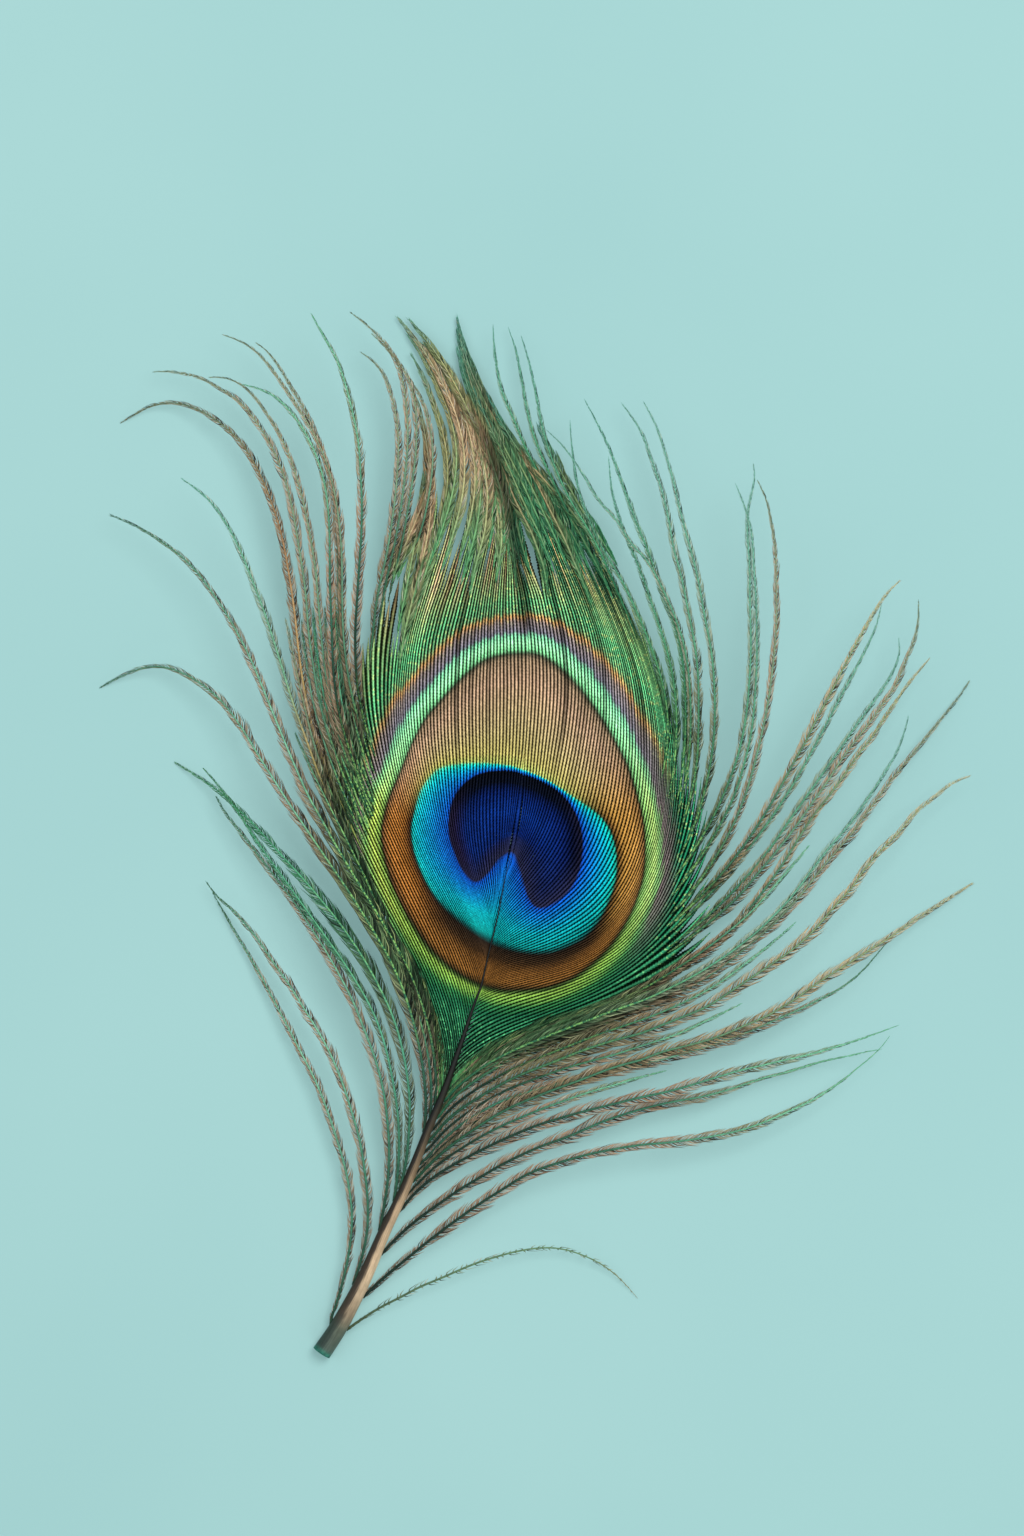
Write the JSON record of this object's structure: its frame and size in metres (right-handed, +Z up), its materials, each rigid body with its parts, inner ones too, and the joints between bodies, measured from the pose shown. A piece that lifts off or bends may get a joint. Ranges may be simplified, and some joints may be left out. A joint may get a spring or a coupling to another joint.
{
  "type": "peacock eye feather",
  "caption": "Short-cut peacock eye feather lying flat: tapered hollow quill, two closed halves of eye vane with an iridescent heart, and long loose herl barbs fanning out on both sides.",
  "frame": {"origin": "bottom centre of the box around the whole feather, on the surface it lies on", "axes": "+Y from the cut quill end to the middle of the eye, +Z up through the glossy face, +X to the right seen from above"},
  "size_m": [0.1638, 0.1758, 0.0145],
  "materials": {
    "shaft_horn": "satin keratin, dark grey-green at the cut, tan on one side, near-black towards the eye",
    "eye_vane_left": "iridescent combed barbs: navy, azure, turquoise, bronze, lime and emerald zones",
    "eye_vane_right": "iridescent combed barbs: navy, azure, turquoise, bronze, lime and emerald zones",
    "herl_left": "loose herl, copper-brown barbules on green ramus",
    "herl_right": "loose herl, copper-pink barbules on green ramus, sheen silver where it catches light"
  },
  "bodies": {
    "root": {"shaft": "shaft_horn", "eye_vane_left": "eye_vane_left", "eye_vane_right": "eye_vane_right", "barb_left_01": "herl_left", "barb_left_02": "herl_left", "barb_left_03": "herl_left", "barb_left_04": "herl_left", "barb_left_05": "herl_left", "barb_left_06": "herl_left", "barb_left_07": "herl_left", "barb_left_08": "herl_left", "barb_left_09": "herl_left", "barb_left_10": "herl_left", "barb_left_11": "herl_left", "barb_left_12": "herl_left", "barb_left_13": "herl_left", "barb_left_14": "herl_left", "barb_left_15": "herl_left", "barb_left_16": "herl_left", "barb_left_17": "herl_left", "barb_left_18": "herl_left", "barb_left_19": "herl_left", "barb_right_01": "herl_right", "barb_right_02": "herl_right", "barb_right_03": "herl_right", "barb_right_04": "herl_right", "barb_right_05": "herl_right", "barb_right_06": "herl_right", "barb_right_07": "herl_right", "barb_right_08": "herl_right", "barb_right_09": "herl_right", "barb_right_10": "herl_right", "barb_right_11": "herl_right", "barb_right_12": "herl_right", "barb_right_13": "herl_right", "barb_right_14": "herl_right", "barb_right_15": "herl_right", "barb_right_16": "herl_right", "barb_right_17": "herl_right", "barb_right_18": "herl_right", "barb_right_19": "herl_right", "barb_right_20": "herl_right", "barb_right_21": "herl_right", "barb_right_22": "herl_right", "barb_right_23": "herl_right", "barb_right_24": "herl_right", "barb_right_25": "herl_right", "barb_right_26": "herl_right"}
  },
  "joints": []
}
